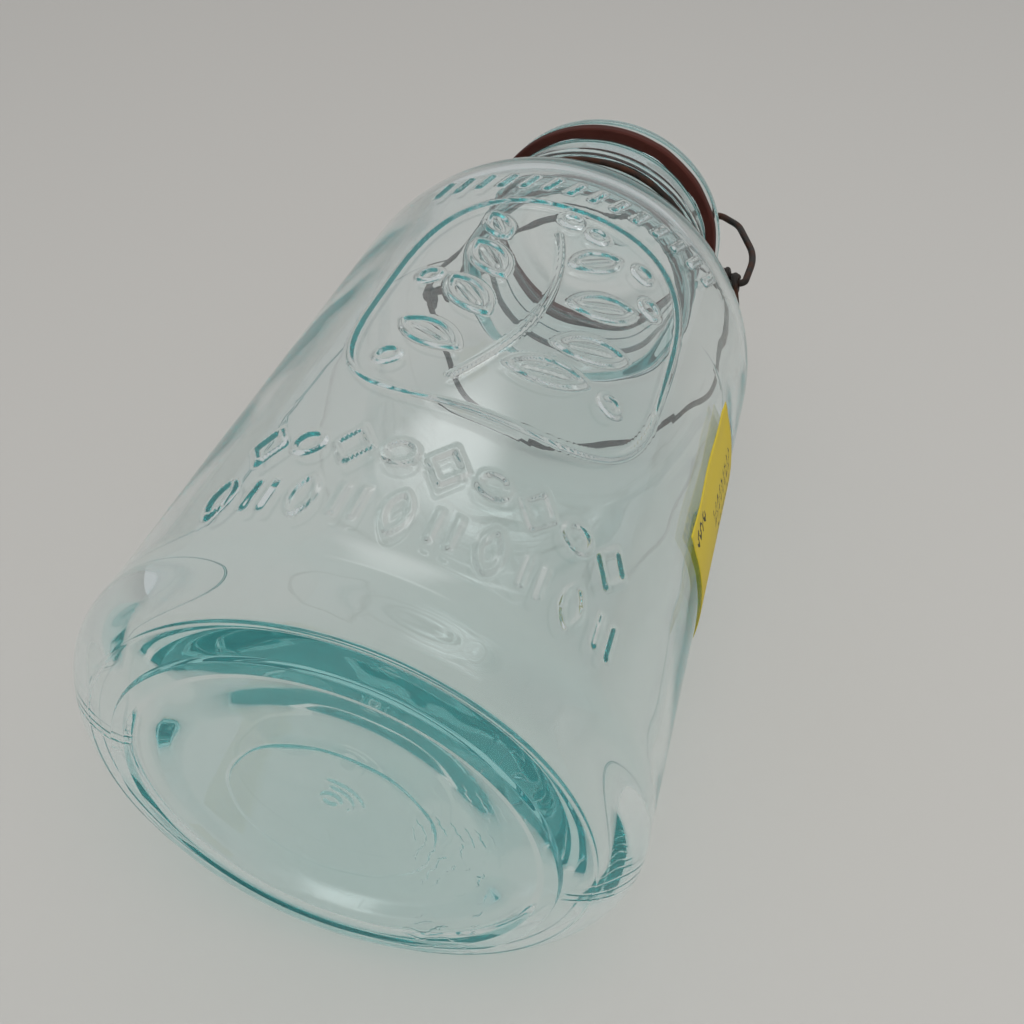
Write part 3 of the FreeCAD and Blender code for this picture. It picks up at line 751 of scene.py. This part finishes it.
def make_ring(colours):
    """Moulded rubber ring: a rounded rectangle turned round the axis, its outer edge
    a little uneven where the clamp has pressed it."""
    outer = (GASKET_HIGH.x - GASKET_LOW.x) / 2 / MM
    thick, broad = (GASKET_HIGH.y - GASKET_LOW.y) / MM, 5.9
    start, hole = outer - broad / 2, outer - broad
    outline = Outline(rounded_outline(
        [(start, 0.0), (outer, 0.0), (outer, thick), (hole, thick), (hole, 0.0), (start, 0.0)],
        [0.8, 0.8, 0.3, 0.3]))
    rows = outline.rows(0.7, math.radians(15.0))[:-1]
    column_count = 240
    along, angle = np.meshgrid(rows, np.arange(column_count) * 2.0 * np.pi / column_count,
                               indexing="ij")
    radius, height, across, up = outline.at(along)
    worn = 1.0 + 0.8 * waves(0.6 * height, angle, 34.0, 33, 30.0)
    move = -0.22 * worn * (across > 0.5)
    radius, height = radius + across * move, height + up * move
    points = np.stack([radius * np.cos(angle) * MM, GASKET_LOW.y + height * MM,
                       AXIS_Z + radius * np.sin(angle) * MM], axis=-1).reshape(-1, 3)
    index = np.arange(len(points)).reshape(along.shape)
    below, beside = np.roll(index, -1, axis=0), np.roll(index, -1, axis=1)
    corner = np.roll(below, -1, axis=1)
    faces = np.stack([index, below, corner, beside], axis=-1).reshape(-1, 4).tolist()
    return new_piece("rubber_ring", points, faces, rubber_material(colours),
                     "jar", "gasket")


# ---- wire closure ----


def finish_wires(colours):
    """The wire pieces keep their construction shapes and get the wire's finish."""
    material = wire_material(colours)
    for node in ("neck_wire", "lever", "bail"):
        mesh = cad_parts[node].data
        mesh.materials.clear()
        mesh.materials.append(material)


# ---- sticker ----


def make_sticker(colours):
    """Paper sticker: a grid bent round the wall, with its lower near corner cut askew
    and its upper edge and far end lifting a little by an S curve. The sheet has two sides
    and a closed rim."""
    low = math.atan2(LABEL_LOW.z - AXIS_Z, BODY)
    high = math.atan2(LABEL_HIGH.z - AXIS_Z, LABEL_LOW.x)
    across = np.linspace(0.0, 1.0, 49)
    along = np.linspace(0.0, 1.0, 69)
    v, u = np.meshgrid(across, along, indexing="ij")
    angle = low + (high - low) * v
    skew = 1.6 * MM * (1.0 - u) * (1.0 - v)
    y = LABEL_LOW.y + (LABEL_HIGH.y - LABEL_LOW.y) * u + skew
    curl = 0.5 * MM * smooth_step(0.86, 1.0, v) * (0.4 + 0.6 * np.sin(5.0 * u + 0.6) ** 2)
    curl += 0.4 * MM * smooth_step(0.9, 1.0, u) * smooth_step(0.45, 1.0, v)
    gap, sheet = 0.04 * MM, 0.15 * MM
    radius = BODY + gap + curl
    uv = np.stack([u, v], axis=-1).reshape(-1, 2)
    layers = [np.stack([(radius + thick) * np.cos(angle), y,
                        AXIS_Z + (radius + thick) * np.sin(angle)], axis=-1).reshape(-1, 3)
              for thick in (sheet, 0.0)]
    index = np.arange(u.size).reshape(u.shape)
    quads = np.stack([index[:-1, :-1], index[:-1, 1:], index[1:, 1:], index[1:, :-1]],
                     axis=-1).reshape(-1, 4)
    rim = np.concatenate([index[0, :-1], index[:-1, -1], index[-1, :0:-1], index[:0:-1, 0]])
    after = np.roll(rim, -1)
    sides = np.stack([after, rim, rim + u.size, after + u.size], axis=1)
    faces = np.concatenate([quads, quads[:, ::-1] + u.size, sides]).tolist()
    piece = new_piece("price_sticker", np.concatenate(layers), faces, paper_material(colours),
                      "jar", "label")
    layer = piece.data.uv_layers.new(name="sheet")
    corners = np.empty(len(piece.data.loops), int)
    piece.data.loops.foreach_get("vertex_index", corners)
    layer.data.foreach_set("uv", np.concatenate([uv, uv])[corners].ravel())
    return piece


# ---- stage ----


def make_floor(colours):
    """A wide floor of painted board: pale, matt and nearly without shine."""
    mesh = bpy.data.meshes.new("floor")
    half, low = FLOOR_HALF, -0.05 * MM
    mesh.from_pydata([(-half, -half, low), (half, -half, low), (half, half, low),
                      (-half, half, low)], [], [(0, 1, 2, 3)])
    floor = bpy.data.objects.new("floor", mesh)
    bpy.context.scene.collection.objects.link(floor)
    material, tree, output = new_material("painted_board")
    board = add_node(tree, "ShaderNodeBsdfPrincipled",
                     {"Base Color": tuple(colours.floor), "Roughness": 0.8,
                      "Specular IOR Level": 0.2})
    tree.links.new(board.outputs[0], output.inputs["Surface"])
    mesh.materials.append(material)


def make_world():
    """Even room light: pale ceiling, greyer walls, and two soft bright panels, each
    an ellipse in the two slopes of the direction that looks at it. The lens, straight or
    through glass, sees a plain grey."""
    world = bpy.data.worlds.new("room")
    bpy.context.scene.world = world
    world.use_nodes = True
    tree = world.node_tree
    tree.nodes.clear()
    output = add_node(tree, "ShaderNodeOutputWorld")
    way = add_node(tree, "ShaderNodeTexCoord").outputs["Generated"]
    part = add_node(tree, "ShaderNodeSeparateXYZ", {"Vector": way})
    ramp = add_node(tree, "ShaderNodeMapRange",
                    {"Value": part.outputs["Z"], "From Min": 0.0, "From Max": 0.9,
                     "To Min": 0.43, "To Max": 0.76}, interpolation_type="SMOOTHSTEP")
    path = add_node(tree, "ShaderNodeLightPath")
    seen = add_node(tree, "ShaderNodeMath", {0: path.outputs["Is Camera Ray"],
                                             1: path.outputs["Is Transmission Ray"]},
                    operation="MAXIMUM").outputs[0]
    light = add_node(tree, "ShaderNodeMix", {"Factor": seen, "A": ramp.outputs[0],
                                             "B": 0.515}).outputs[0]
    panels = ((0.0, 1.1, 0.62, 0.2, 2.0), (0.55, -0.45, 0.45, 0.3, 0.7))
    for sideways, tip, half_width, half_depth, strength in panels:
        slopes = [add_node(tree, "ShaderNodeMath", {0: part.outputs[axis], 1: part.outputs["Z"]},
                           operation="DIVIDE").outputs[0] for axis in "XY"]
        place = add_node(tree, "ShaderNodeCombineXYZ", {"X": slopes[0], "Y": slopes[1]})
        moved = add_node(tree, "ShaderNodeVectorMath",
                         {0: place.outputs[0], 1: (sideways, tip, 0.0)}, operation="SUBTRACT")
        scaled = add_node(tree, "ShaderNodeVectorMath",
                          {0: moved.outputs[0], 1: (half_width, half_depth, 1.0)},
                          operation="DIVIDE")
        away = add_node(tree, "ShaderNodeVectorMath", {0: scaled.outputs[0]}, operation="LENGTH")
        glow = add_node(tree, "ShaderNodeMapRange",
                        {"Value": away.outputs["Value"], "From Min": 1.0, "From Max": 0.2,
                         "To Min": 0.0, "To Max": strength}, interpolation_type="SMOOTHSTEP")
        above = add_node(tree, "ShaderNodeMath", {0: part.outputs["Z"], 1: 0.05},
                         operation="GREATER_THAN")
        panel = add_node(tree, "ShaderNodeMath", {0: glow.outputs[0], 1: above.outputs[0]},
                         operation="MULTIPLY")
        light = add_node(tree, "ShaderNodeMath", {0: light, 1: panel.outputs[0]},
                         operation="ADD").outputs[0]
    room = add_node(tree, "ShaderNodeBackground", {"Color": (1.0, 1.0, 1.0, 1.0),
                                                   "Strength": light})
    tree.links.new(room.outputs[0], output.inputs["Surface"])


def add_lamp(name, place, target, size, power):
    """A soft rectangular lamp that looks at a target. It isn't seen in the glass, where
    its sharp edges would show; the world's panels are."""
    lamp = bpy.data.lights.new(name, "AREA")
    lamp.shape = "RECTANGLE"
    lamp.size, lamp.size_y = size
    lamp.energy = power
    holder = bpy.data.objects.new(name, lamp)
    way = Vector(target) - Vector(place)
    holder.matrix_world = (Matrix.Translation(place)
                           @ way.to_track_quat("-Z", "Y").to_matrix().to_4x4())
    holder.visible_glossy = holder.visible_transmission = False
    bpy.context.scene.collection.objects.link(holder)


def add_camera():
    """A phone's main lens, held close over the base end of the jar."""
    camera = bpy.data.cameras.new("camera")
    camera.sensor_width = 36.0
    camera.lens = 38.67
    camera.clip_start = 0.01
    holder = bpy.data.objects.new("camera", camera)
    place = Vector((0.055574, BASE_Y - 0.086179, AXIS_Z + 0.158101))
    ahead = Vector((-0.20244666, 0.71113036, -0.67328223)).normalized()
    right = ahead.cross(Vector((0.0, 0.0, 1.0))).normalized()
    above = right.cross(ahead)
    turn = Matrix((right, above, -ahead)).transposed()
    holder.matrix_world = Matrix.Translation(place) @ turn.to_4x4()
    bpy.context.scene.collection.objects.link(holder)
    bpy.context.scene.camera = holder


def make_stage(colours):
    """Floor, room, lamp and camera, and as many bounces as light in glass needs."""
    make_floor(colours)
    make_world()
    add_lamp("ceiling_panel", (0.25, -0.3, 0.85), (0.0, 0.0, 0.0), (0.6, 0.6), 3.5)
    add_camera()
    scene = bpy.context.scene
    scene.view_settings.view_transform = "Standard"
    for kind in ("max_bounces", "transmission_bounces", "glossy_bounces"):
        setattr(scene.cycles, kind, BOUNCES)
    scene.cycles.transparent_max_bounces = 24


# ---- add-on ----


class CANNINGJAR_OT_jar(bpy.types.Operator):
    """Build the embossed glass jar"""

    bl_idname = "canning_jar.jar"
    bl_label = "Glass jar"

    def execute(self, context):
        make_jar(context.scene.jar_sizes, context.scene.jar_colours)
        return {"FINISHED"}


class CANNINGJAR_OT_lid(bpy.types.Operator):
    """Build the pressed glass lid"""

    bl_idname = "canning_jar.lid"
    bl_label = "Glass lid"

    def execute(self, context):
        make_lid(context.scene.jar_colours)
        return {"FINISHED"}


class CANNINGJAR_OT_ring(bpy.types.Operator):
    """Build the rubber sealing ring"""

    bl_idname = "canning_jar.ring"
    bl_label = "Rubber ring"

    def execute(self, context):
        make_ring(context.scene.jar_colours)
        return {"FINISHED"}


class CANNINGJAR_OT_wires(bpy.types.Operator):
    """Finish the neck wire, the lever and the bail"""

    bl_idname = "canning_jar.wires"
    bl_label = "Wire closure"

    def execute(self, context):
        finish_wires(context.scene.jar_colours)
        return {"FINISHED"}


class CANNINGJAR_OT_sticker(bpy.types.Operator):
    """Build the paper price sticker"""

    bl_idname = "canning_jar.sticker"
    bl_label = "Price sticker"

    def execute(self, context):
        make_sticker(context.scene.jar_colours)
        return {"FINISHED"}


class CANNINGJAR_OT_stage(bpy.types.Operator):
    """Build the floor, the lights and the camera"""

    bl_idname = "canning_jar.stage"
    bl_label = "Stage"

    def execute(self, context):
        make_stage(context.scene.jar_colours)
        return {"FINISHED"}


OPERATORS = (CANNINGJAR_OT_jar, CANNINGJAR_OT_lid, CANNINGJAR_OT_ring, CANNINGJAR_OT_wires,
             CANNINGJAR_OT_sticker, CANNINGJAR_OT_stage)


class CANNINGJAR_PT_panel(bpy.types.Panel):
    """Sizes, colours and the building steps of the canning jar"""

    bl_idname = "CANNINGJAR_PT_panel"
    bl_label = "Canning Jar"
    bl_space_type = "VIEW_3D"
    bl_region_type = "UI"
    bl_category = "Canning Jar"

    def draw(self, context):
        """One column of sizes and colours, and one of steps."""
        for group in (context.scene.jar_sizes, context.scene.jar_colours):
            column = self.layout.column()
            for name in group.__annotations__:
                column.prop(group, name)
        column = self.layout.column()
        for operator in OPERATORS:
            column.operator(operator.bl_idname)


CLASSES = (JarSizes, JarColours, *OPERATORS, CANNINGJAR_PT_panel)


def register():
    """Add the classes and the two groups of properties to Blender."""
    for kind in CLASSES:
        bpy.utils.register_class(kind)
    bpy.types.Scene.jar_sizes = bpy.props.PointerProperty(type=JarSizes)
    bpy.types.Scene.jar_colours = bpy.props.PointerProperty(type=JarColours)


def unregister():
    """Take them away again."""
    del bpy.types.Scene.jar_colours
    del bpy.types.Scene.jar_sizes
    for kind in reversed(CLASSES):
        bpy.utils.unregister_class(kind)


def main():
    """Register the add-on, and build every piece and the stage."""
    register()
    for operator in OPERATORS:
        group, name = operator.bl_idname.split(".")
        getattr(getattr(bpy.ops, group), name)()


if __name__ == "__main__":
    main()
